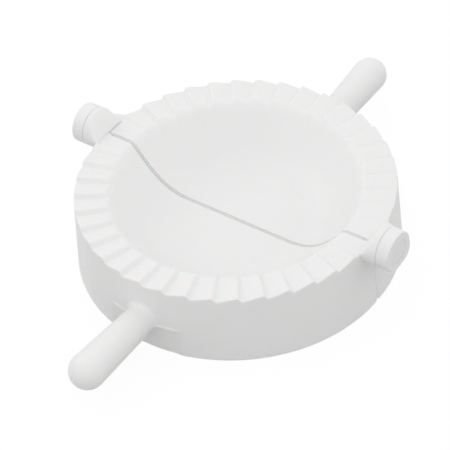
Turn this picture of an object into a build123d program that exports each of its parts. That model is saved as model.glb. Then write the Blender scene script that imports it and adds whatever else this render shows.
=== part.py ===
from build123d import *
from math import atan2, cos, degrees, pi, radians, sin, sqrt
import os

# Empanada press: two half dishes with a toothed crimp ring, hinged on one line.
# Millimetres. It stands open and flat on Z = 0, with the hinge line over the X axis.

# --- ring, bowl and skirt -------------------------------------------------------------
ring_radius = 55.0  # outside of the crimp ring
ring_height = 26.8  # middle of the teeth above the table
bowl_depth = 16.3  # from the middle of the teeth down to the bowl's floor
floor_radius = 21.2  # flat part of the floor
bend_radius = 19.0  # from the floor into the side
bend_steps = 4  # the bend is turned in this many steps, all under 0.1 mm off it
side_radius = 50.7  # the bowl's side is part of a ball, centred on its axis
wall = 2.0  # moulded wall thickness
skirt_flare = 1.4  # how much wider the foot is than the ring
ring_thickness = 1.8  # under the lowest point of the teeth
lip_width = 2.0  # rounded edge between the teeth and the bowl
lip_drop = 0.9  # how far it starts below the valleys
foot_round = 2.0  # lower corners where the two skirts meet
split_gap = 0.6  # each half's ring and bowl stand this far off the hinge plane
stop_gap = 0.1  # each skirt's end stands this far off it, and butts when flat

# --- crimp teeth ----------------------------------------------------------------------
pitches = 20  # in a half circle: a plain land at each end, teeth between
tooth_height = 1.4  # at the ring's outer edge
riser_run = 0.7  # draft of the steep side

# --- handle and the relief round its root ---------------------------------------------
handle_root_height = 11.8  # centre of the handle where it leaves the skirt
handle_rise = 3.3  # degrees
handle_root_radius = 5.25
handle_tip_radius = 6.35
handle_tip_reach = 86.2  # centre of the rounded tip, from the hinge plane
tip_steps = 4  # the tip is turned in this many steps
root_flare = 1.0  # how far it flares where it meets the skirt
relief_height = 10.3
relief_depth = 1.0
relief_half_angle = 13.5  # degrees each side of the handle

# --- hinge ----------------------------------------------------------------------------
axis_height = ring_height + 0.4  # just over the ring, so that the closed teeth clear
knuckle_radius = 7.2
inner_knuckle_start = 55.9  # just outside the ring
inner_knuckle_end = 60.15
outer_knuckle_start = 60.45
knuckle_end = 65.0
shoulder_run = 3.0  # how far the inner knuckle takes to swell to its full size
shoulder_flat = 4.2  # radius of its flat inner end
shoulder_middle = (0.9, 0.9)  # run from the inner end, and drop from full radius, half way
swing_clearance = 0.35  # round the inner knuckle, in the other half
root_start = 53.4  # inner end of what joins the knuckles to the skirt, inside its wall
outer_web_reach = 12.0  # how far off the hinge plane the outer knuckle's web starts
rim_chamfer = 0.8
pin_radius = 2.5  # pressed into the inner knuckle
pin_clearance = 0.06  # radial, where the outer knuckle turns on it
pin_start = 56.9  # inner end of the shank
pin_hole_end = 56.7  # bottom of the blind hole that it is pressed into
pin_chamfer = 0.5
head_radius = 4.4
head_thickness = 1.0
head_recess = 1.4  # depth of the counterbore that hides the head
head_clearance = 0.2  # under the head
head_side_clearance = 0.1

# --- worked out from these ------------------------------------------------------------
pitch = 180 / pitches
crest_height = ring_height + tooth_height / 2
valley_height = ring_height - tooth_height / 2
ring_underside = valley_height - ring_thickness
floor_height = ring_height - bowl_depth
bend_centre_height = floor_height + bend_radius
side_rise = sqrt((side_radius - bend_radius) ** 2 - floor_radius**2)
side_centre_height = bend_centre_height + side_rise
side_start = degrees(atan2(floor_radius, side_rise))  # from straight down, as seen from its centre
foot_radius = ring_radius + skirt_flare
tooth_chord = ring_radius * sin(radians(pitch))
tooth_slope = tooth_height / (tooth_chord - riser_run)
riser_slope = riser_run / tooth_height
knuckle_bottom = axis_height - knuckle_radius
hinge_axis = Axis((0, 0, axis_height), (1, 0, 0))
over = 6.0  # cutters reach this far past what they cut
cut_start = floor_radius + bend_radius / 2
cut_length = foot_radius + over - cut_start


def side_reach(height, offset=0.0):
    """Distance from the middle to the bowl's side, or that far outside it, at this height."""
    return sqrt((side_radius + offset) ** 2 - (side_centre_height - height) ** 2)


def bend(steps, offset=0.0):
    """Outline of the bowl's bend, or that far outside it, from the floor up, in steps."""
    radius = bend_radius + offset
    turns = [radians(side_start * step / steps) for step in range(steps + 1)]
    return [(floor_radius + radius * sin(a), bend_centre_height - radius * cos(a)) for a in turns]


def skirt_radius(height):
    """Outside of the skirt at this height."""
    return ring_radius + skirt_flare * (crest_height - height) / crest_height


def across_ring(height):
    """Plane square to a radius of the ring, with its X along the ring and its Y up."""
    return Plane(origin=(cut_start, 0, height), x_dir=(0, 1, 0), z_dir=(1, 0, 0))


# One tooth's cut: from a valley up the gentle slope to the next crest on one side, and
# up the steep side on the other.
with BuildPart() as tooth_cut:
    with BuildSketch(across_ring(valley_height)):
        with BuildLine():
            valley = riser_run / 2
            reach = tooth_chord + riser_run
            Polyline(
                (valley, 0),
                (reach, (reach - valley) * tooth_slope),
                (reach, over),
                (valley - over * riser_slope, over),
                close=True,
            )
        make_face()
    extrude(amount=cut_length)

# The plain lands by the hinge: one before the first tooth and one after the last.
with BuildPart() as first_land_cut:
    with BuildSketch(across_ring(ring_height)):
        Rectangle(2 * tooth_chord, over, align=(Align.MAX, Align.MIN))
    extrude(amount=cut_length)
with BuildPart() as last_land_cut:
    with BuildSketch(across_ring(ring_height)):
        with BuildLine():
            reach = 2 * tooth_chord
            Polyline((0, 0), (reach, 0), (reach, over), (-over * riser_slope, over), close=True)
        make_face()
    extrude(amount=cut_length)

# Half a dish on the +Y side: bowl, ring and skirt in one wall, with the teeth cut in it.
with BuildPart() as dish:
    with BuildSketch(Plane.XZ):
        with BuildLine():
            mouth = (side_reach(crest_height), crest_height)
            side_foot = bend(bend_steps)[-1]
            Polyline((0, floor_height), *bend(bend_steps))
            RadiusArc(side_foot, mouth, -side_radius)
            # the wall's hidden side goes round in fewer steps
            under_side_foot = bend(bend_steps // 2, wall)[-1]
            under_side_middle = (under_side_foot[1] + ring_underside) / 2
            Polyline(
                mouth,
                (ring_radius, crest_height),
                (foot_radius, 0),
                (foot_radius - wall, 0),
                (skirt_radius(ring_underside) - wall, ring_underside),
                (side_reach(ring_underside, wall), ring_underside),
                (side_reach(under_side_middle, wall), under_side_middle),
                *reversed(bend(bend_steps // 2, wall)),
                (0, floor_height - wall),
                (0, floor_height),
            )
        make_face()
    revolve(axis=Axis.Z, revolution_arc=180)
    with PolarLocations(0, pitches - 2, start_angle=pitch, angular_range=180 - 2 * pitch):
        add(tooth_cut.part, mode=Mode.SUBTRACT)
    with PolarLocations(0, 1, start_angle=pitch):
        add(first_land_cut.part, mode=Mode.SUBTRACT)
    with PolarLocations(0, 1, start_angle=180 - pitch):
        add(last_land_cut.part, mode=Mode.SUBTRACT)
    # the rounded edge where the teeth run out into the bowl
    with BuildSketch(Plane.XZ):
        with BuildLine():
            low = valley_height - lip_drop
            foot = (side_reach(low), low)
            top = (foot[0] + lip_width, crest_height)
            ThreePointArc(foot, (foot[0] + 0.32 * lip_width, low + 0.62 * (crest_height - low)), top)
            Polyline(top, (top[0], crest_height + over), (floor_radius, crest_height + over))
            Polyline((floor_radius, crest_height + over), (floor_radius, low), foot)
        make_face()
    revolve(axis=Axis.Z, revolution_arc=180, mode=Mode.SUBTRACT)

# The handle: a round bar, thicker towards its rounded tip, that rises a little outwards.
with BuildPart() as handle:
    rise = radians(handle_rise)
    root = (0, foot_radius - wall, handle_root_height)
    tip = (handle_tip_reach - split_gap - root[1]) / cos(rise)
    with BuildSketch(Plane(origin=root, x_dir=(1, 0, 0), z_dir=(0, -sin(rise), cos(rise)))):
        with BuildLine():
            flared = handle_root_radius + root_flare
            collar = skirt_radius(handle_root_height) - root[1]
            turns = [pi / 2 * step / tip_steps for step in range(tip_steps + 1)]
            Polyline(
                (0, 0),
                (flared, 0),
                (flared, collar),
                (handle_root_radius, collar + root_flare),
                *[(handle_tip_radius * cos(a), tip + handle_tip_radius * sin(a)) for a in turns],
                close=True,
            )
        make_face()
    revolve(axis=Axis(root, (0, cos(rise), sin(rise))))

# The shallow relief in the skirt round the handle's root, down to the foot.
with BuildPart() as relief:
    with BuildSketch(Plane.XZ):
        with BuildLine():
            Polyline(
                (skirt_radius(0) - relief_depth, 0),
                (skirt_radius(0) + over, 0),
                (skirt_radius(0) + over, relief_height),
                (skirt_radius(relief_height) - relief_depth, relief_height),
                close=True,
            )
        make_face()
    revolve(axis=Axis.Z, revolution_arc=2 * relief_half_angle)

# One half without its hinge, on the +Y side of the hinge plane.
with BuildPart() as half:
    with Locations((0, split_gap, 0)):
        add(dish.part)
        with PolarLocations(0, 1, start_angle=90 - relief_half_angle):
            add(relief.part, mode=Mode.SUBTRACT)
        add(handle.part)
    # the skirt's ends reach on to the hinge plane, where they butt against the other half
    for side in (1, -1):
        with BuildSketch(Plane.XZ.offset(-split_gap)):
            with BuildLine():
                Polyline(
                    (side * foot_radius, 0),
                    (side * (foot_radius - wall), 0),
                    (side * (skirt_radius(ring_underside) - wall), ring_underside),
                    (side * skirt_radius(ring_underside), ring_underside),
                    close=True,
                )
            make_face()
        extrude(amount=split_gap - stop_gap)
    corners = half.edges().filter_by(Axis.X).group_by(Axis.Z)[0].group_by(Axis.Y)[0]
    fillet(corners, radius=foot_round)


# The half that lies still, on the -Y side: turned half round, it gets the two inner
# knuckles, shouldered towards the ring, each with a blind hole for its pin.
with BuildPart() as near_half:
    with BuildSketch(Plane.XY.offset(axis_height)):
        with BuildLine():
            Polyline(
                (inner_knuckle_start, 0),
                (inner_knuckle_start, shoulder_flat),
                (inner_knuckle_start + shoulder_middle[0], knuckle_radius - shoulder_middle[1]),
                (inner_knuckle_start + shoulder_run, knuckle_radius),
                (inner_knuckle_end, knuckle_radius),
                (inner_knuckle_end, 0),
                close=True,
            )
        make_face()
    revolve(axis=hinge_axis)
    # the root that carries it: the lower front quarter of the barrel, run into the skirt
    with BuildSketch(Plane.YZ.offset(root_start)):
        with Locations((0, axis_height)):
            Circle(knuckle_radius)
        with Locations((-split_gap, ring_height)):
            Rectangle(knuckle_radius, knuckle_radius, align=Align.MAX, mode=Mode.INTERSECT)
    extrude(amount=inner_knuckle_end - root_start)
    mirror(about=Plane.YZ)
    with Locations(Rotation(0, 0, 180)):
        add(half.part)
    for side in (1, -1):
        with BuildSketch(Plane.YZ.offset(side * pin_hole_end)):
            with Locations((0, axis_height)):
                Circle(pin_radius)
        extrude(amount=side * (inner_knuckle_end - pin_hole_end), mode=Mode.SUBTRACT)

# What the folding half must leave free for the inner knuckle.
with BuildPart() as swing_room:
    with BuildSketch(Plane.YZ.offset(root_start)):
        with Locations((0, axis_height)):
            Circle(knuckle_radius + swing_clearance)
    extrude(amount=outer_knuckle_start - root_start)
    mirror(about=Plane.YZ)

# One outer knuckle at +X: barrel, web out of the skirt past the inner knuckle, running
# hole, and the recess for the pin's head.
with BuildPart() as outer_knuckle:
    with BuildSketch(Plane.YZ.offset(outer_knuckle_start)):
        with Locations((0, axis_height)):
            Circle(knuckle_radius)
    extrude(amount=knuckle_end - outer_knuckle_start)
    rim = outer_knuckle.edges().filter_by(GeomType.CIRCLE).sort_by(Axis.X)[-1]
    chamfer(rim, length=rim_chamfer)
    with BuildSketch(Plane.XY.offset(knuckle_bottom)):
        with BuildLine():
            clear = knuckle_radius + swing_clearance
            Polyline(
                (root_start, clear),
                (root_start, outer_web_reach),
                (knuckle_end - rim_chamfer, knuckle_radius),
                (knuckle_end - rim_chamfer, split_gap),
                (outer_knuckle_start, split_gap),
                (outer_knuckle_start, clear),
                close=True,
            )
        make_face()
    extrude(amount=valley_height - knuckle_bottom)
    with BuildSketch(Plane.YZ.offset(outer_knuckle_start)):
        with Locations((0, axis_height)):
            Circle(pin_radius + pin_clearance)
    extrude(amount=knuckle_end - outer_knuckle_start, mode=Mode.SUBTRACT)
    with BuildSketch(Plane.YZ.offset(knuckle_end - head_recess)):
        with Locations((0, axis_height)):
            Circle(head_radius + head_side_clearance)
    extrude(amount=head_recess, mode=Mode.SUBTRACT)

# The half that folds, on the +Y side.
with BuildPart() as far_half:
    add(half.part)
    add(swing_room.part, mode=Mode.SUBTRACT)
    add(outer_knuckle.part)
    add(mirror(outer_knuckle.part, about=Plane.YZ, mode=Mode.PRIVATE))

# The pins: pressed into the inner knuckles, with the outer knuckles turning on them.
with BuildPart() as hinge_pin_right:
    with BuildSketch(Plane.YZ.offset(pin_start)):
        with Locations((0, axis_height)):
            Circle(pin_radius)
    head_start = knuckle_end - head_recess + head_clearance
    extrude(amount=head_start - pin_start)
    shank_end = hinge_pin_right.edges().filter_by(GeomType.CIRCLE).sort_by(Axis.X)[0]
    chamfer(shank_end, length=pin_chamfer)
    with BuildSketch(Plane.YZ.offset(head_start)):
        with Locations((0, axis_height)):
            Circle(head_radius)
    extrude(amount=head_thickness)
with BuildPart() as hinge_pin_left:
    add(mirror(hinge_pin_right.part, about=Plane.YZ, mode=Mode.PRIVATE))

near_half.part.label = "near_half"
far_half.part.label = "far_half"
hinge_pin_right.part.label = "hinge_pin_right"
hinge_pin_left.part.label = "hinge_pin_left"

os.makedirs("parts", exist_ok=True)
export_step(near_half.part, "parts/near_half.step")
export_step(far_half.part, "parts/far_half.step")
export_step(hinge_pin_right.part, "parts/hinge_pin_right.step")
export_step(hinge_pin_left.part, "parts/hinge_pin_left.step")
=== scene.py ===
"""Looks of the empanada press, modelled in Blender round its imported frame.

The two half mouldings and their two hinge pins are meshed here at full finish: soft-edged
crimp teeth, the rolled lip of the bowl, the filleted handles and the turned hinge barrels.
Lengths are in millimetres until a mesh is made, which is in metres, in the frame's own axes:
+Z up, +X along the hinge line, the still half on the -Y side.
"""

import logging
from dataclasses import dataclass, field
from enum import Enum
from math import acos, asin, cos, pi, radians, sin, sqrt

import bmesh
import bpy
import numpy as np
from mathutils import Matrix, Vector


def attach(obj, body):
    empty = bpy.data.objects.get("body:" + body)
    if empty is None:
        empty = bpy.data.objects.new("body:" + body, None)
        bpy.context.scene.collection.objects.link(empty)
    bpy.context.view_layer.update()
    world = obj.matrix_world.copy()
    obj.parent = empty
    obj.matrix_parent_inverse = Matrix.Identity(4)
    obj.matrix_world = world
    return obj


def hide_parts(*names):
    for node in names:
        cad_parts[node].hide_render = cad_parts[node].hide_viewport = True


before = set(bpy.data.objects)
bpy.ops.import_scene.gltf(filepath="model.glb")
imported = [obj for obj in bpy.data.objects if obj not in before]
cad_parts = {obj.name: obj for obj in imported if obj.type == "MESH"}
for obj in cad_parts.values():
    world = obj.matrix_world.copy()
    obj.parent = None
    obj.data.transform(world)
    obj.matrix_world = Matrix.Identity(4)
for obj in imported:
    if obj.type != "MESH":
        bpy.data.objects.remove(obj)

MM = 0.001
log = logging.getLogger("empanada_press")

Point = tuple[float, float, float]
Outline = list[tuple[float, float]]
Heights = tuple[float, ...]


class Side(Enum):
    """The two halves: which way a half lies from the hinge line, seen along +Y."""

    FAR = 1
    NEAR = -1


class Join(Enum):
    """How one solid form is worked into another."""

    ADD = "UNION"
    CUT = "DIFFERENCE"


# --- sizes ----------------------------------------------------------------------------


@dataclass(frozen=True)
class DishSizes:
    """Bowl, crimp ring and skirt of one half, in millimetres."""

    ring_radius: float = 55.0
    ring_height: float = 26.8
    bowl_depth: float = 16.3
    floor_radius: float = 21.2
    bend_radius: float = 19.0
    side_radius: float = 50.7
    side_limit: float = 50.0
    wall: float = 2.0
    skirt_flare: float = 1.4
    ring_thickness: float = 1.8
    rim_drop: float = 0.7
    split_gap: float = 0.6
    stop_gap: float = 0.04
    stop_edge: float = 0.16
    foot_round: float = 2.0
    lip_blend: float = 2.4
    lip_start: float = 3.2
    ring_edge: float = 0.45
    foot_edge: float = 0.3
    inner_fillet: float = 0.7
    split_face: float = 0.1
    split_edge: float = 0.25
    groove_depth: float = 0.75
    groove_end: float = 53.3
    stop_start: float = 52.6
    relief_height: float = 10.3
    relief_depth: float = 0.4
    relief_half_angle: float = 13.5
    relief_edge: float = 0.3
    relief_side_edge: float = 1.4
    bead_height: float = 10.9
    bead_rise: float = 0.45
    bead_width: float = 0.58

    @property
    def floor_height(self) -> float:
        """Height of the bowl's floor."""
        return self.ring_height - self.bowl_depth

    @property
    def bend_centre(self) -> tuple[float, float]:
        """Centre of the curve between floor and side: reach and height."""
        return self.floor_radius, self.floor_height + self.bend_radius

    @property
    def side_centre_height(self) -> float:
        """Height on the bowl's axis about which its side is round."""
        reach, height = self.bend_centre
        return height + sqrt((self.side_radius - self.bend_radius) ** 2 - reach**2)

    @property
    def side_start(self) -> float:
        """Angle from straight down, in radians, at which the bend runs into the side."""
        reach, _ = self.bend_centre
        return asin(reach / (self.side_radius - self.bend_radius))

    @property
    def under_ring(self) -> float:
        """Height of the ring's underside."""
        return self.ring_height - self.rim_drop - self.ring_thickness

    def skirt_radius(self, height: float | np.ndarray) -> float | np.ndarray:
        """Outside of the skirt at a height."""
        return self.ring_radius + self.skirt_flare * (1 - height / (self.ring_height + self.rim_drop))

    def wall_outline(self, offset: float, top: float, bend_steps: int, side_steps: int) -> Outline:
        """Bowl's outline, or one parallel to it, from the floor's edge up to a height.

        Args:
            offset: how far outside the bowl's surface it runs.
            top: height at which it ends.
            bend_steps: points along the bend.
            side_steps: points along the side.

        Returns:
            Reach and height of each point, from the floor up.
        """
        reach, height = self.bend_centre
        bend = self.bend_radius + offset
        side = self.side_radius + offset
        end = acos((self.side_centre_height - top) / side)
        points = [
            (reach + bend * sin(a), height - bend * cos(a))
            for a in np.linspace(0, self.side_start, bend_steps + 1)
        ]
        points += [
            (side * sin(a), self.side_centre_height - side * cos(a))
            for a in np.linspace(self.side_start, end, side_steps + 1)[1:]
        ]
        return points


@dataclass(frozen=True)
class ToothSizes:
    """Crimp teeth of one half, in millimetres and degrees."""

    pitches: int = 20
    height: float = 1.75
    riser_run: float = 0.95
    crest_softness: float = 0.35
    valley_softness: float = 0.7

    @property
    def pitch(self) -> float:
        """Angle from one steep side to the next, in degrees."""
        return 180 / self.pitches


@dataclass(frozen=True)
class HandleSizes:
    """The round handle bar of one half, in millimetres and degrees."""

    root_height: float = 11.8
    rise: float = 3.3
    root_radius: float = 5.25
    tip_radius: float = 6.35
    tip_reach: float = 86.2
    root_fillet: float = 1.8


@dataclass(frozen=True)
class HingeSizes:
    """Barrels, webs and pins of the hinge, in millimetres."""

    axis_over_ring: float = 0.4
    radius: float = 7.2
    inner_start: float = 53.75
    inner_end: float = 60.26
    outer_start: float = 60.34
    outer_end: float = 65.0
    shoulder_run: float = 5.0
    root_drop: float = 0.03
    swing_clearance: float = 0.12
    root_start: float = 53.66
    web_reach: float = 12.0
    web_end: float = 64.6
    web_end_reach: float = 7.8
    web_round: float = 4.2
    web_edge: float = 0.3
    rim_round: float = 0.5
    seam_round: float = 0.25
    pin_radius: float = 2.5
    pin_clearance: float = 0.06
    pin_start: float = 56.9
    pin_hole_end: float = 56.7
    pin_chamfer: float = 0.5
    head_radius: float = 4.4
    head_thickness: float = 1.0
    head_recess: float = 1.4
    head_clearance: float = 0.34
    head_side_clearance: float = 0.05
    head_round: float = 0.12


# --- mesh making ----------------------------------------------------------------------


class Draft:
    """A closed form being drawn: its points in millimetres and its faces."""

    def __init__(self, name: str) -> None:
        """Starts an empty form with a name."""
        self.name = name
        self.points: list[Point] = []
        self.faces: list[list[int]] = []

    def row(self, points: list[Point]) -> list[int]:
        """Adds a row of points.

        Args:
            points: where they lie.

        Returns:
            Their numbers in the form.
        """
        start = len(self.points)
        self.points.extend(points)
        return list(range(start, len(self.points)))

    def strip(self, one: list[int], other: list[int], closed: bool = False) -> None:
        """Fills the band between two rows with quads.

        Args:
            one: a row of point numbers.
            other: the next row, with as many points.
            closed: whether the band also joins the rows' last points to their first.
        """
        count = len(one)
        for i in range(count if closed else count - 1):
            j = (i + 1) % count
            self.faces.append([one[i], one[j], other[j], other[i]])

    def cap(self, row: list[int]) -> None:
        """Closes a ring of points with one flat face."""
        self.faces.append(list(row))

    def solid(self) -> bpy.types.Object:
        """Makes the closed form as an object.

        Returns:
            The object, with its faces turned outwards.
        """
        mesh = bpy.data.meshes.new(self.name)
        work = bmesh.new()
        corners = [work.verts.new([c * MM for c in p]) for p in self.points]
        for face in self.faces:
            work.faces.new([corners[i] for i in face])
        bmesh.ops.recalc_face_normals(work, faces=work.faces)
        work.to_mesh(mesh)
        work.free()
        made = bpy.data.objects.new(self.name, mesh)
        bpy.context.scene.collection.objects.link(made)
        return made


def inset(loop: Outline, distance: float | np.ndarray) -> Outline:
    """Draws a closed outline in by a distance, square to its edges.

    Args:
        loop: its points, in order.
        distance: how far in, the same all round or for each point; a negative one goes out.

    Returns:
        As many points, moved.
    """
    points = np.array(loop, float)
    along = np.roll(points, -1, axis=0) - points
    along /= np.linalg.norm(along, axis=1)[:, None]
    square = np.stack([-along[:, 1], along[:, 0]], axis=1)
    area = np.sum(points[:, 0] * np.roll(points[:, 1], -1) - np.roll(points[:, 0], -1) * points[:, 1])
    both = square + np.roll(square, 1, axis=0)
    both /= np.linalg.norm(both, axis=1)[:, None]
    reach = distance / np.maximum(np.sum(both * square, axis=1), 0.5)
    return [tuple(p) for p in points + both * (reach * np.sign(area))[:, None]]


def quarter(steps: int) -> list[tuple[float, float]]:
    """Share of run and rise, each 0 to 1, round a quarter circle from its steep end."""
    turns = np.linspace(0, pi / 2, steps + 1)
    return [(1 - cos(a), sin(a)) for a in turns]


def turned(name: str, profile: Outline, height: float, steps: int = 72) -> bpy.types.Object:
    """A form turned round the hinge line.

    Args:
        name: what it is.
        profile: distance along X and radius of each point, closed by its ends' flat faces.
        height: of the hinge line.
        steps: faces round it.

    Returns:
        The solid.
    """
    draft = Draft(name)
    turns = [2 * pi * i / steps for i in range(steps)]
    rows = [draft.row([(x, r * sin(a), height + r * cos(a)) for a in turns]) for x, r in profile]
    for one, other in zip(rows, rows[1:]):
        draft.strip(one, other, closed=True)
    draft.cap(rows[0])
    draft.cap(rows[-1])
    return draft.solid()


def bar(name: str, section: Outline, start: float, end: float) -> bpy.types.Object:
    """A straight form along X.

    Args:
        name: what it is.
        section: its outline in Y and Z.
        start: X where it starts.
        end: X where it ends.

    Returns:
        The solid.
    """
    draft = Draft(name)
    rows = [draft.row([(x, y, z) for y, z in section]) for x in (start, end)]
    draft.strip(*rows, closed=True)
    for row in rows:
        draft.cap(row)
    return draft.solid()


def mirrored(solid: bpy.types.Object) -> bpy.types.Object:
    """A copy of a solid on the other side of the YZ plane."""
    copy = bpy.data.objects.new(solid.name + "_left", solid.data.copy())
    bpy.context.scene.collection.objects.link(copy)
    copy.data.transform(Matrix.Scale(-1, 4, (1, 0, 0)))
    copy.data.flip_normals()
    return copy


def work_in(base: bpy.types.Object, steps: list[tuple[Join, bpy.types.Object]]) -> None:
    """Joins and cuts solids into a base, in order, and removes them.

    Args:
        base: the solid that changes.
        steps: how each goes in, and the solid.
    """
    for how, tool in steps:
        change = base.modifiers.new(tool.name, "BOOLEAN")
        change.operation = how.value
        change.solver = "EXACT"
        change.object = tool
    bpy.context.view_layer.update()
    depsgraph = bpy.context.evaluated_depsgraph_get()
    result = bpy.data.meshes.new_from_object(base.evaluated_get(depsgraph))
    base.modifiers.clear()
    base.data = result
    for _, tool in steps:
        bpy.data.objects.remove(tool)


# --- finishes -------------------------------------------------------------------------


@dataclass(frozen=True)
class MouldedPlastic:
    """White moulded plastic with a fine satin skin.

    The colour drifts a little between two near-whites, the gloss varies as it does where the
    melt met the mould, and the skin has a fine grain over a faint, wide unevenness.
    """

    name: str = "white_moulding"
    light: tuple[float, float, float] = (0.86, 0.86, 0.855)
    dark: tuple[float, float, float] = (0.835, 0.836, 0.832)
    drift_size: float = 0.028
    smoothest: float = 0.38
    roughest: float = 0.5
    gloss_size: float = 0.011
    grain_size: float = 0.00032
    grain_depth: float = 0.000012
    swell_size: float = 0.009
    swell_depth: float = 0.00003
    reflection: float = 0.5
    softness: float = 0.12
    soft_reach: float = 0.0012

    def material(self) -> bpy.types.Material:
        """Builds the finish from nodes.

        Returns:
            The material.
        """
        made = bpy.data.materials.new(self.name)
        made.use_nodes = True
        nodes, links = made.node_tree.nodes, made.node_tree.links
        shader = nodes["Principled BSDF"]
        shader.inputs["Specular IOR Level"].default_value = self.reflection
        shader.inputs["Subsurface Weight"].default_value = self.softness
        shader.inputs["Subsurface Scale"].default_value = self.soft_reach
        place = nodes.new("ShaderNodeTexCoord").outputs["Object"]

        def noise(size: float, detail: float) -> bpy.types.NodeSocket:
            """A noise whose features are about a size in metres."""
            node = nodes.new("ShaderNodeTexNoise")
            node.inputs["Scale"].default_value = 1 / size
            node.inputs["Detail"].default_value = detail
            links.new(place, node.inputs["Vector"])
            return node.outputs["Fac"]

        tone = nodes.new("ShaderNodeMix")
        tone.data_type = "RGBA"
        tone.inputs["A"].default_value = (*self.dark, 1)
        tone.inputs["B"].default_value = (*self.light, 1)
        links.new(noise(self.drift_size, 3.0), tone.inputs["Factor"])
        links.new(tone.outputs["Result"], shader.inputs["Base Color"])

        gloss = nodes.new("ShaderNodeMapRange")
        gloss.inputs["From Min"].default_value = 0.3
        gloss.inputs["From Max"].default_value = 0.7
        gloss.inputs["To Min"].default_value = self.smoothest
        gloss.inputs["To Max"].default_value = self.roughest
        links.new(noise(self.gloss_size, 4.0), gloss.inputs["Value"])
        links.new(gloss.outputs["Result"], shader.inputs["Roughness"])

        swell = nodes.new("ShaderNodeBump")
        swell.inputs["Distance"].default_value = self.swell_depth
        links.new(noise(self.swell_size, 1.0), swell.inputs["Height"])
        grain = nodes.new("ShaderNodeBump")
        grain.inputs["Distance"].default_value = self.grain_depth
        links.new(noise(self.grain_size, 2.0), grain.inputs["Height"])
        links.new(swell.outputs["Normal"], grain.inputs["Normal"])
        links.new(grain.outputs["Normal"], shader.inputs["Normal"])
        return made


# --- the half mouldings ---------------------------------------------------------------


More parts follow.
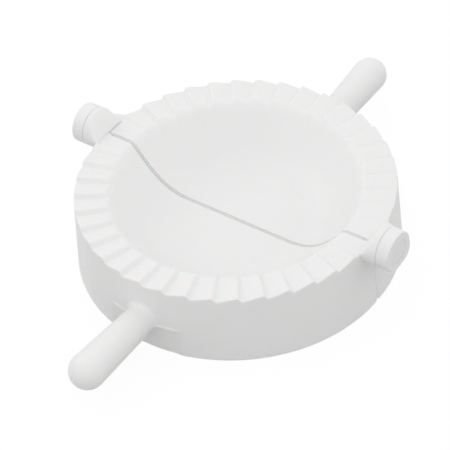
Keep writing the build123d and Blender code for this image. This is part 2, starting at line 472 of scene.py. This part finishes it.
@dataclass
class HalfMoulding:
    """One half of the press: dish, teeth, skirt and handle, and its share of the hinge.

    Every half is drawn on the +Y side. The near one is then turned half round, as the real
    halves are, so that its teeth mesh with the far one's when the press shuts.
    """

    side: Side
    dish: DishSizes = field(default_factory=DishSizes)
    teeth: ToothSizes = field(default_factory=ToothSizes)
    handle: HandleSizes = field(default_factory=HandleSizes)
    hinge: HingeSizes = field(default_factory=HingeSizes)
    skirt_rows: Heights = (25.0, 22.5, 20.0, 17.5, 15.0, 13.2)
    foot_rows: Heights = (9.0, 7.0, 5.0, 2.8, 1.2)

    @property
    def name(self) -> str:
        """The half's own name."""
        return "near_moulding" if self.side is Side.NEAR else "far_moulding"

    @property
    def axis_height(self) -> float:
        """Height of the hinge line."""
        return self.dish.ring_height + self.hinge.axis_over_ring

    # -- teeth --

    def sharp_teeth(self, reach: np.ndarray, angle: np.ndarray) -> np.ndarray:
        """Height of the crimp ring before its edges are softened.

        Args:
            reach: distance from the middle.
            angle: from +X round the half, in degrees.

        Returns:
            The heights: the lowest of all the teeth's cuts.
        """
        dish, teeth = self.dish, self.teeth
        valley = dish.ring_height - teeth.height / 2
        crest = dish.ring_height + teeth.height / 2
        steep = teeth.height / teeth.riser_run
        half_run = teeth.riser_run / 2
        chord = dish.ring_radius * sin(radians(teeth.pitch))
        gentle = teeth.height / (chord - teeth.riser_run)
        height = np.full(np.broadcast(reach, angle).shape, crest)
        for count in range(1, teeth.pitches - 1):
            turn = np.radians(angle - count * teeth.pitch)
            past = reach * np.sin(turn)
            cut = valley + np.where(past < half_run, (half_run - past) * steep, (past - half_run) * gentle)
            height = np.minimum(height, cut)
        first = reach * np.sin(np.radians(angle - teeth.pitch))
        height = np.where(first < 0, np.minimum(height, dish.ring_height), height)
        last = reach * np.sin(np.radians(angle - (180 - teeth.pitch)))
        height = np.minimum(height, dish.ring_height + np.maximum(-last, 0) * steep)
        return height

    def soft_teeth(self, reach: np.ndarray, angle: np.ndarray) -> np.ndarray:
        """Height of the crimp ring with its crests and valleys softened, for the same values."""
        shifts = np.linspace(-self.teeth.valley_softness, self.teeth.crest_softness, 13)
        turns = [np.degrees(shift / reach) for shift in shifts]
        return np.mean([self.sharp_teeth(reach, angle + turn) for turn in turns], axis=0)

    def ring_top(self, reach: np.ndarray, angle: np.ndarray) -> np.ndarray:
        """Height of the ring where it rolls over its lip into the bowl.

        Args:
            reach: distance from the middle.
            angle: from +X round the half, in degrees.

        Returns:
            The heights: the softer of the teeth and the bowl's side run upwards.
        """
        dish = self.dish
        teeth = self.soft_teeth(reach, angle)
        within = np.minimum(reach, dish.side_limit)
        side = dish.side_centre_height - np.sqrt(dish.side_radius**2 - within**2)
        near = np.maximum(dish.lip_blend - np.abs(side - teeth), 0) / dish.lip_blend
        return np.minimum(side, teeth) - near**2 * dish.lip_blend / 4

    # -- dish --

    def columns(self) -> np.ndarray:
        """Angles, in degrees, of the mesh's columns round the dish: closest at the steep sides."""
        dish, teeth = self.dish, self.teeth
        half_riser = np.array([0.08, 0.25, 0.45, 0.65, 0.95])
        near_riser = np.degrees(np.concatenate([-half_riser[::-1], half_riser]) / dish.side_limit)
        angles = [1.2, 3.0, 5.0, 7.0, 173.0, 175.0, 177.0, 178.8]
        for count in range(1, teeth.pitches):
            angles.extend(count * teeth.pitch + near_riser)
            if count < teeth.pitches - 1:
                angles.extend(np.linspace(0.28, 0.76, 4) * teeth.pitch + count * teeth.pitch)
        around = np.degrees(np.array([-1.1, -0.5, 0.1, 0.7, 1.2]) / dish.ring_radius)
        for edge in (90 - dish.relief_half_angle, 90 + dish.relief_half_angle):
            angles = [a for a in angles if abs(a - edge) > 1.4]
            angles.extend(edge + around)
        return np.array(sorted(angles))

    def relief(self, angle: np.ndarray, height: np.ndarray) -> np.ndarray:
        """How deep the skirt lies back beside the handle, at an angle in degrees and a height.

        A fine bead stands proud along the top of the set-back face, so it counts as less than 0.
        """
        dish = self.dish
        across = (dish.relief_half_angle - np.abs(angle - 90)) * radians(1) * dish.ring_radius
        across = np.clip(0.5 + across / (2 * dish.relief_side_edge), 0, 1)
        below = np.clip(0.5 + (dish.relief_height - height) / (2 * dish.relief_edge), 0, 1)
        across, below = (step * step * (3 - 2 * step) for step in (across, below))
        bead = np.exp(-(((height - dish.bead_height) / dish.bead_width) ** 2))
        return across * (dish.relief_depth * below - dish.bead_rise * bead)

    def section(self, angle: np.ndarray) -> tuple[np.ndarray, np.ndarray]:
        """Outline of the dish's wall at each angle, from the floor over the ring and back.

        Args:
            angle: in degrees.

        Returns:
            Reach and height, each with a row for every angle and a column for every point.
        """
        dish = self.dish
        angle = np.asarray(angle, float)[:, None]
        inside = np.array(dish.wall_outline(0.0, dish.ring_height - dish.lip_start, 8, 8))
        reach_low = inside[-1][0]
        lip = reach_low + np.array([0.35, 0.7, 1.0, 1.3, 1.6, 1.9, 2.2, 2.6, 3.1, 3.8, 4.8])
        flat = np.linspace(lip[-1] + 1.2, dish.ring_radius - dish.ring_edge, 7)
        top_reach = np.concatenate([lip, flat])
        top = self.ring_top(top_reach[None, :], angle)
        edge_height = top[:, -1:]
        rounding = quarter(5)[::-1]
        runs, rises = np.array(rounding[1:]).T
        edge_reach = dish.ring_radius - dish.ring_edge * runs[None, :]
        edge = edge_height - dish.ring_edge * (1 - rises)[None, :]
        relief_rows = dish.relief_height + np.linspace(1.8, -0.4, 12)
        rows = np.concatenate([self.skirt_rows, relief_rows, self.foot_rows])
        skirt_reach = dish.skirt_radius(rows)[None, :] - self.relief(angle, rows[None, :])
        foot = dish.skirt_radius(0) - self.relief(angle, np.zeros((1, 1)))
        turn = np.array(quarter(3))
        foot_reach = foot - dish.foot_edge * turn[None, :, 0]
        foot_height = np.broadcast_to(dish.foot_edge * (1 - turn[:, 1])[None, :], foot_reach.shape)
        under_ring = dish.under_ring
        inner_foot = dish.skirt_radius(0) - dish.wall
        inner_top = dish.skirt_radius(under_ring) - dish.wall
        fillet = dish.inner_fillet
        hidden = [(inner_foot + dish.foot_edge * run, dish.foot_edge * (1 - rise))
                  for run, rise in quarter(3)[::-1]]
        hidden += [(inner_foot + (inner_top - inner_foot) * z / under_ring, z) for z in (6.0, 12.0, 18.0)]
        hidden += [(inner_top - fillet * run, under_ring - fillet * (1 - rise)) for run, rise in quarter(4)]
        hidden += dish.wall_outline(dish.wall, under_ring - 0.01, 8, 8)[::-1]
        count = len(angle)

        def every(values: np.ndarray) -> np.ndarray:
            """The same values for every angle."""
            return np.broadcast_to(np.asarray(values)[None, :], (count, len(values)))

        hidden = np.array(hidden)
        reach = np.hstack([every(inside[:, 0]), every(top_reach), np.broadcast_to(edge_reach, (count, 5)),
                           skirt_reach, foot_reach, every(hidden[:, 0])])
        height = np.hstack([every(inside[:, 1]), top, edge, every(rows), foot_height, every(hidden[:, 1])])
        return reach, height

    def split_shape(self, outline: Outline) -> np.ndarray:
        """How the end face at the split is shaped along the wall's outline.

        The skirt butts. Along the bowl and the ring a shallow step is left in the top edge, so
        that the two halves together have a soft groove there.

        Args:
            outline: the wall's outline at one end of the half.

        Returns:
            For each row of the end, from the hinge line on, and for each point of the outline:
            how far it stands off the hinge line, and how far in from the outline it lies.
        """
        dish = self.dish
        reach, height = np.array(outline).T
        outside = (reach > dish.ring_radius - 0.01) & (height < dish.ring_height - dish.rim_drop)
        skirt = outside | ((reach > dish.stop_start) & (height < dish.under_ring))
        top = np.cumsum(reach > dish.groove_end) == 0
        soft, depth, edge = dish.stop_edge, dish.groove_depth, dish.split_edge
        groove = [
            (dish.split_face, depth + soft), (dish.split_face + soft, depth),
            (dish.split_gap - 0.03, depth), (dish.split_gap, depth - 0.05), (dish.split_gap, edge),
        ]
        groove += [(dish.split_gap + edge * run, edge * (1 - rise)) for run, rise in quarter(3)[1:]]
        plain = [(soft * run, soft * (1 - rise)) for run, rise in quarter(len(groove) - 1)]
        face = np.where(skirt, dish.stop_gap, dish.split_face)
        return np.array([
            [np.where(top, deep[0], face + flat[0]), np.where(top, deep[1], flat[1])]
            for deep, flat in zip(groove, plain)
        ])

    def dish_solid(self) -> bpy.types.Object:
        """Draws the dish: wall, ring, skirt and floor, with soft edges along the split.

        Returns:
            The solid.
        """
        dish = self.dish
        draft = Draft("dish")
        angles = self.columns()
        reach, height = self.section(angles)
        rows = []
        for i, angle in enumerate(np.radians(angles)):
            rows.append(draft.row([
                (r * cos(angle), dish.split_gap + r * sin(angle), z) for r, z in zip(reach[i], height[i])
            ]))
        end_reach, end_height = self.section(np.array([0.0]))
        right = list(zip(end_reach[0], end_height[0]))
        left = [(-r, z) for r, z in reversed(right)]
        ends = []
        for off, inward in self.split_shape(right):
            loop = inset(right + left, np.concatenate([inward, inward[::-1]]))
            ends.append(draft.row([(x, y, z) for (x, z), y in zip(loop, np.concatenate([off, off[::-1]]))]))
        for one, other in zip(ends, ends[1:]):
            draft.strip(one, other, closed=True)
        draft.cap(ends[0])
        half = len(right)
        first, last = ends[-1][:half], ends[-1][half:][::-1]
        bands = [first, *rows, last]
        for one, other in zip(bands, bands[1:]):
            draft.strip(one, other)
        draft.cap([band[0] for band in bands])
        draft.cap([band[-1] for band in bands])
        return draft.solid()

    def foot_corner_cut(self) -> bpy.types.Object:
        """Draws what rounds off the skirt's lower corners at the split."""
        size, y = self.dish.foot_round, self.dish.stop_gap - 0.03
        arc = [(y + size * (1 - sin(a)), size * (1 - cos(a))) for a in np.linspace(0, pi / 2, 9)]
        section = arc + [(y - 1, size), (y - 1, -1), (y + size, -1)]
        far = self.dish.skirt_radius(0) + 5
        return bar("foot_corner", section, -far, far)

    # -- handle --

    def skirt_face(self, x: float, z: float) -> float:
        """Y of the skirt's outside behind a point, with the relief in it."""
        around = self.dish.skirt_radius(z)
        angle = 90 - np.degrees(np.arcsin(x / around))
        radius = around - float(self.relief(np.array(angle), np.array(z)))
        return self.dish.split_gap + sqrt(radius**2 - x**2)

    def handle_solid(self) -> bpy.types.Object:
        """Draws the handle bar, its root following the skirt's face in a soft fillet.

        Returns:
            The solid, which starts inside the skirt's wall.
        """
        bar, dish = self.handle, self.dish
        rise = radians(bar.rise)
        start = dish.split_gap + dish.skirt_radius(0) - dish.wall
        length = (bar.tip_reach - start) / cos(rise)
        turns = [2 * pi * i / 72 for i in range(72)]
        draft = Draft("handle")

        def ring_at(distance: float, radius: float) -> list[int]:
            """A ring of points square to the bar, at a distance along it."""
            y, z = start + distance * cos(rise), bar.root_height + distance * sin(rise)
            return draft.row([
                (radius * cos(a), y - radius * sin(a) * sin(rise), z + radius * sin(a) * cos(rise))
                for a in turns
            ])

        def ring_off(gap: float, radius: float) -> list[int]:
            """A ring of points that keeps a gap from the skirt's face."""
            points = []
            for a in turns:
                x, z = radius * cos(a), bar.root_height + 2 * sin(rise) + radius * sin(a)
                points.append((x, self.skirt_face(x, z) + gap, z))
            return draft.row(points)

        fillet = bar.root_fillet
        rings = [ring_off(-0.6, bar.root_radius + fillet * 0.93)]
        for a in np.radians(np.linspace(82, 0, 10)):
            rings.append(ring_off(fillet * (1 - sin(a)), bar.root_radius + fillet * (1 - cos(a))))
        for share in (0.22, 0.4, 0.6, 0.8, 1.0):
            radius = bar.root_radius + (bar.tip_radius - bar.root_radius) * share
            rings.append(ring_at(length * share, radius))
        for a in np.radians(np.linspace(9, 81, 9)):
            rings.append(ring_at(length + bar.tip_radius * sin(a), bar.tip_radius * cos(a)))
        for one, other in zip(rings, rings[1:]):
            draft.strip(one, other, closed=True)
        end = ring_at(length + bar.tip_radius, 0.0)[0]
        draft.points = draft.points[: end + 1]
        for i, j in zip(rings[-1], rings[-1][1:] + rings[-1][:1]):
            draft.faces.append([i, j, end])
        draft.cap(rings[0])
        return draft.solid()

    # -- hinge --

    def inner_barrel(self) -> bpy.types.Object:
        """Draws the right-hand inner barrel with its root, which domes down to the ring.

        Returns:
            The solid: round below the ring's top, and above it swelling from the ring outwards.
        """
        hinge, base = self.hinge, self.dish.ring_height - self.hinge.root_drop
        stations = [
            (hinge.inner_start + hinge.shoulder_run * share, hinge.radius, sin(share * pi / 2))
            for share in np.linspace(0.02, 1, 15)
        ]
        seam = hinge.seam_round
        stations += [(hinge.inner_end - seam * (1 - rise), hinge.radius - seam * run, 1.0)
                     for run, rise in quarter(4)]
        draft = Draft("inner_barrel")
        turns = [2 * pi * i / 72 for i in range(72)]
        rows = []
        for x, radius, swell in stations:
            around = [(radius * sin(a), self.axis_height + radius * cos(a)) for a in turns]
            rows.append(draft.row([(x, y, base + (z - base) * swell if z > base else z) for y, z in around]))
        for one, other in zip(rows, rows[1:]):
            draft.strip(one, other, closed=True)
        draft.cap(rows[0])
        draft.cap(rows[-1])
        return draft.solid()

    def swing_room(self) -> bpy.types.Object:
        """Draws what the far half leaves free for the inner barrel."""
        hinge = self.hinge
        radius = hinge.radius + hinge.swing_clearance
        ends = [(hinge.root_start, radius), (hinge.outer_start, radius)]
        return turned("swing_room", ends, self.axis_height, steps=96)

    def outer_barrel(self) -> bpy.types.Object:
        """Draws the right-hand outer barrel, with its rim rounded."""
        hinge = self.hinge
        seam = [(hinge.outer_start + hinge.seam_round * run, hinge.radius - hinge.seam_round * (1 - rise))
                for run, rise in quarter(3)]
        rim = [(hinge.outer_end - hinge.rim_round * (1 - rise), hinge.radius - hinge.rim_round * run)
               for run, rise in quarter(6)]
        return turned("outer_barrel", seam + rim, self.axis_height)

    def outer_web(self) -> bpy.types.Object:
        """Draws the web that carries the outer barrel out of the skirt, past the inner one."""
        hinge, dish = self.hinge, self.dish
        clear = hinge.radius + hinge.swing_clearance
        low, high = self.axis_height - hinge.radius, dish.ring_height - dish.rim_drop
        draft = Draft("outer_web")
        rows = []
        for x, inner in ((hinge.root_start, clear), (hinge.outer_start - 0.01, clear),
                         (hinge.outer_start, dish.split_gap), (hinge.web_end, dish.split_gap)):
            along = (x - hinge.root_start) / (hinge.web_end - hinge.root_start)
            outer = hinge.web_reach + (hinge.web_end_reach - hinge.web_reach) * along
            centre = outer - hinge.web_round
            first = asin(max(inner - centre, 0) / hinge.web_round)
            under = [(centre + hinge.web_round * sin(a), low + hinge.web_round * (1 - cos(a)))
                     for a in np.linspace(first, pi / 2, 10)]
            edge = hinge.web_edge
            over = [(outer - edge * run, high - edge * (1 - rise)) for run, rise in quarter(3)]
            section = [(inner, under[0][1]), *under, *over, (inner, high)]
            rows.append(draft.row([(x, y, z) for y, z in section]))
        for one, other in zip(rows, rows[1:]):
            draft.strip(one, other, closed=True)
        draft.cap(rows[0])
        draft.cap(rows[-1])
        return draft.solid()

    def bore(self, radius: float, start: float, end: float) -> bpy.types.Object:
        """Draws a round hole on the hinge line, from one place along it to another."""
        return turned("bore", [(start, radius), (end, radius)], self.axis_height, steps=48)

    def near_hinge(self) -> list[tuple[Join, bpy.types.Object]]:
        """The steps that give the near half its hinge."""
        hinge = self.hinge
        steps = []
        right = self.inner_barrel()
        steps += [(Join.ADD, right), (Join.ADD, mirrored(right))]
        right = self.bore(hinge.pin_radius, hinge.pin_hole_end, hinge.inner_end + 1)
        steps += [(Join.CUT, right), (Join.CUT, mirrored(right))]
        return steps

    def far_hinge(self) -> list[tuple[Join, bpy.types.Object]]:
        """The steps that give the far half its hinge."""
        hinge = self.hinge
        right = self.swing_room()
        steps = [(Join.CUT, right), (Join.CUT, mirrored(right))]
        for draw in (self.outer_web, self.outer_barrel):
            right = draw()
            steps += [(Join.ADD, right), (Join.ADD, mirrored(right))]
        holes = (
            (hinge.pin_radius + hinge.pin_clearance, hinge.outer_start - 1),
            (hinge.head_radius + hinge.head_side_clearance, hinge.outer_end - hinge.head_recess),
        )
        for radius, start in holes:
            right = self.bore(radius, start, hinge.outer_end + 1)
            steps += [(Join.CUT, right), (Join.CUT, mirrored(right))]
        return steps

    def build(self) -> bpy.types.Object:
        """Makes the half as one moulding, in its place.

        Returns:
            The finished mesh object.
        """
        half = self.dish_solid()
        half.name = self.name
        steps = [(Join.ADD, self.handle_solid()), (Join.CUT, self.foot_corner_cut())]
        steps += self.near_hinge() if self.side is Side.NEAR else self.far_hinge()
        work_in(half, steps)
        if self.side is Side.NEAR:
            half.data.transform(Matrix.Rotation(pi, 4, "Z"))
        finish_mesh(half)
        return half


@dataclass
class HingePin:
    """One headed hinge pin, in millimetres, drawn at the right-hand end."""

    left: bool
    axis_height: float
    hinge: HingeSizes = field(default_factory=HingeSizes)

    @property
    def name(self) -> str:
        """The pin's own name."""
        return "left_pin" if self.left else "right_pin"

    def build(self) -> bpy.types.Object:
        """Makes the pin: chamfered end, shank and round-edged head.

        Returns:
            The finished mesh object.
        """
        hinge = self.hinge
        head = hinge.outer_end - hinge.head_recess + hinge.head_clearance
        top = head + hinge.head_thickness
        edge = hinge.head_round
        profile = [
            (hinge.pin_start, hinge.pin_radius - hinge.pin_chamfer),
            (hinge.pin_start + hinge.pin_chamfer, hinge.pin_radius),
            (head, hinge.pin_radius),
            (head, hinge.head_radius),
        ]
        profile += [(top - edge * (1 - rise), hinge.head_radius - edge * run) for run, rise in quarter(4)]
        pin = turned(self.name, profile, self.axis_height)
        if self.left:
            right = pin
            pin = mirrored(right)
            bpy.data.objects.remove(right)
            pin.name = self.name
        finish_mesh(pin)
        return pin


def finish_mesh(piece: bpy.types.Object) -> None:
    """Cleans a piece's mesh and shades it smooth, but for its real edges.

    Args:
        piece: a mesh object.
    """
    work = bmesh.new()
    work.from_mesh(piece.data)
    bmesh.ops.remove_doubles(work, verts=work.verts, dist=2e-6)
    bmesh.ops.dissolve_degenerate(work, edges=work.edges, dist=1e-6)
    for face in work.faces:
        face.smooth = True
    open_edges = sum(1 for edge in work.edges if not edge.is_manifold)
    log.info("%s: %d faces, %d open edges", piece.name, len(work.faces), open_edges)
    work.to_mesh(piece.data)
    work.free()
    piece.data.set_sharp_from_angle(angle=radians(34))
    even = piece.modifiers.new("even_normals", "WEIGHTED_NORMAL")
    even.keep_sharp = True
    even.weight = 60


# --- the studio -----------------------------------------------------------------------


@dataclass(frozen=True)
class Studio:
    """White floor, soft lamps and the camera, in metres and degrees."""

    azimuth: float = 38.0542
    elevation: float = 43.3776
    roll: float = -5.0973
    camera: Point = (0.3361, -0.437, 0.5294)
    lens: float = 174.81
    world_strength: float = 0.975
    lamp_place: Point = (-1.0, 0.05, 0.75)
    lamp_size: float = 0.6
    lamp_power: float = 0.8
    floor_size: float = 3.0
    floor_tone: float = 0.48
    floor_glow: float = 1.12
    floor_glow_share: float = 0.82

    def build_camera(self) -> None:
        """Places the camera at the photograph's angle."""
        a, e, r = map(radians, (self.azimuth, self.elevation, self.roll))
        back = Vector((sin(a) * cos(e), -cos(a) * cos(e), sin(e)))
        level = Vector((cos(a), sin(a), 0))
        upright = back.cross(level)
        right = level * cos(r) + upright * sin(r)
        up = upright * cos(r) - level * sin(r)
        place = Matrix((right, up, back)).transposed().to_4x4()
        place.translation = Vector(self.camera)
        camera = bpy.data.objects.new("camera", bpy.data.cameras.new("camera"))
        bpy.context.scene.collection.objects.link(camera)
        camera.matrix_world = place
        camera.data.lens = self.lens
        camera.data.sensor_width = 36
        camera.data.clip_end = 10
        bpy.context.scene.camera = camera

    def build_lamp(self) -> None:
        """Hangs one soft square lamp that faces the press."""
        lamp = bpy.data.lights.new("key_lamp", "AREA")
        lamp.energy = self.lamp_power
        lamp.size = self.lamp_size
        holder = bpy.data.objects.new("key_lamp", lamp)
        bpy.context.scene.collection.objects.link(holder)
        holder.location = self.lamp_place
        holder.rotation_euler = (-Vector(self.lamp_place)).to_track_quat("-Z", "Y").to_euler()

    def build_world(self) -> None:
        """Fills the room with even white light."""
        world = bpy.data.worlds.new("room")
        bpy.context.scene.world = world
        world.use_nodes = True
        background = world.node_tree.nodes["Background"]
        background.inputs["Color"].default_value = (1, 1, 1, 1)
        background.inputs["Strength"].default_value = self.world_strength

    def build_floor(self) -> None:
        """Lays the white floor, which shows as the photograph's white behind the press."""
        size = self.floor_size
        corners = [(-size, -size, 0), (size, -size, 0), (size, size, 0), (-size, size, 0)]
        mesh = bpy.data.meshes.new("floor")
        mesh.from_pydata(corners, [], [(0, 1, 2, 3)])
        floor = bpy.data.objects.new("floor", mesh)
        bpy.context.scene.collection.objects.link(floor)
        mesh.materials.append(self.floor_finish())

    def floor_finish(self) -> bpy.types.Material:
        """Builds the floor's finish: grey to the light that falls on it, and near white when seen.

        Returns:
            The material.
        """
        white = bpy.data.materials.new("floor_white")
        white.use_nodes = True
        nodes, links = white.node_tree.nodes, white.node_tree.links
        matte = nodes["Principled BSDF"]
        matte.inputs["Base Color"].default_value = (self.floor_tone, self.floor_tone, self.floor_tone, 1)
        matte.inputs["Roughness"].default_value = 0.9
        glow = nodes.new("ShaderNodeEmission")
        glow.inputs["Strength"].default_value = self.floor_glow
        path = nodes.new("ShaderNodeLightPath")
        seen = path.outputs["Is Camera Ray"]
        for ray in ("Is Glossy Ray", "Is Transmission Ray"):
            either = nodes.new("ShaderNodeMath")
            either.operation = "MAXIMUM"
            links.new(seen, either.inputs[0])
            links.new(path.outputs[ray], either.inputs[1])
            seen = either.outputs[0]
        share = nodes.new("ShaderNodeMath")
        share.operation = "MULTIPLY"
        share.inputs[1].default_value = self.floor_glow_share
        links.new(seen, share.inputs[0])
        mix = nodes.new("ShaderNodeMixShader")
        links.new(share.outputs[0], mix.inputs["Fac"])
        links.new(matte.outputs[0], mix.inputs[1])
        links.new(glow.outputs[0], mix.inputs[2])
        links.new(mix.outputs[0], nodes["Material Output"].inputs["Surface"])
        return white

    def build(self) -> None:
        """Sets up the whole studio."""
        self.build_camera()
        self.build_world()
        self.build_lamp()
        self.build_floor()
        bpy.context.scene.view_settings.view_transform = "Standard"


# --- the press ------------------------------------------------------------------------


@dataclass(frozen=True)
class Placement:
    """What a piece stands for in the frame, and what it moves with."""

    node: str
    body: str
    slot: str


class Press:
    """The whole press: both halves and both pins, dressed and joined to the frame."""

    def __init__(self) -> None:
        """Makes the finishes that its pieces share."""
        self.moulding = MouldedPlastic().material()
        self.pin_plastic = MouldedPlastic(
            name="white_pin", light=(0.84, 0.84, 0.835), dark=(0.82, 0.82, 0.817), drift_size=0.006,
        ).material()

    def place(self, piece: bpy.types.Object, finish: bpy.types.Material, where: Placement) -> None:
        """Dresses a piece and ties it to the frame.

        Args:
            piece: the finished mesh object.
            finish: its material.
            where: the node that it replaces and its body.
        """
        piece.data.materials.clear()
        piece.data.materials.append(finish)
        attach(piece, where.body)
        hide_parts(where.node)
        log.info("%s stands for %s on body %s", piece.name, where.node, where.body)

    def build(self) -> None:
        """Makes every piece in order."""
        near = HalfMoulding(Side.NEAR)
        far = HalfMoulding(Side.FAR)
        self.place(near.build(), self.moulding, Placement("near_half", "near", "moulding"))
        self.place(far.build(), self.moulding, Placement("far_half", "far", "moulding"))
        for left, node in ((False, "hinge_pin_right"), (True, "hinge_pin_left")):
            pin = HingePin(left, near.axis_height)
            self.place(pin.build(), self.pin_plastic, Placement(node, "near", "pin"))


def main() -> None:
    """Builds the studio and the press."""
    logging.basicConfig(level=logging.INFO, format="%(name)s: %(message)s")
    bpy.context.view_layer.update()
    Studio().build()
    Press().build()


if __name__ == "__main__":
    main()
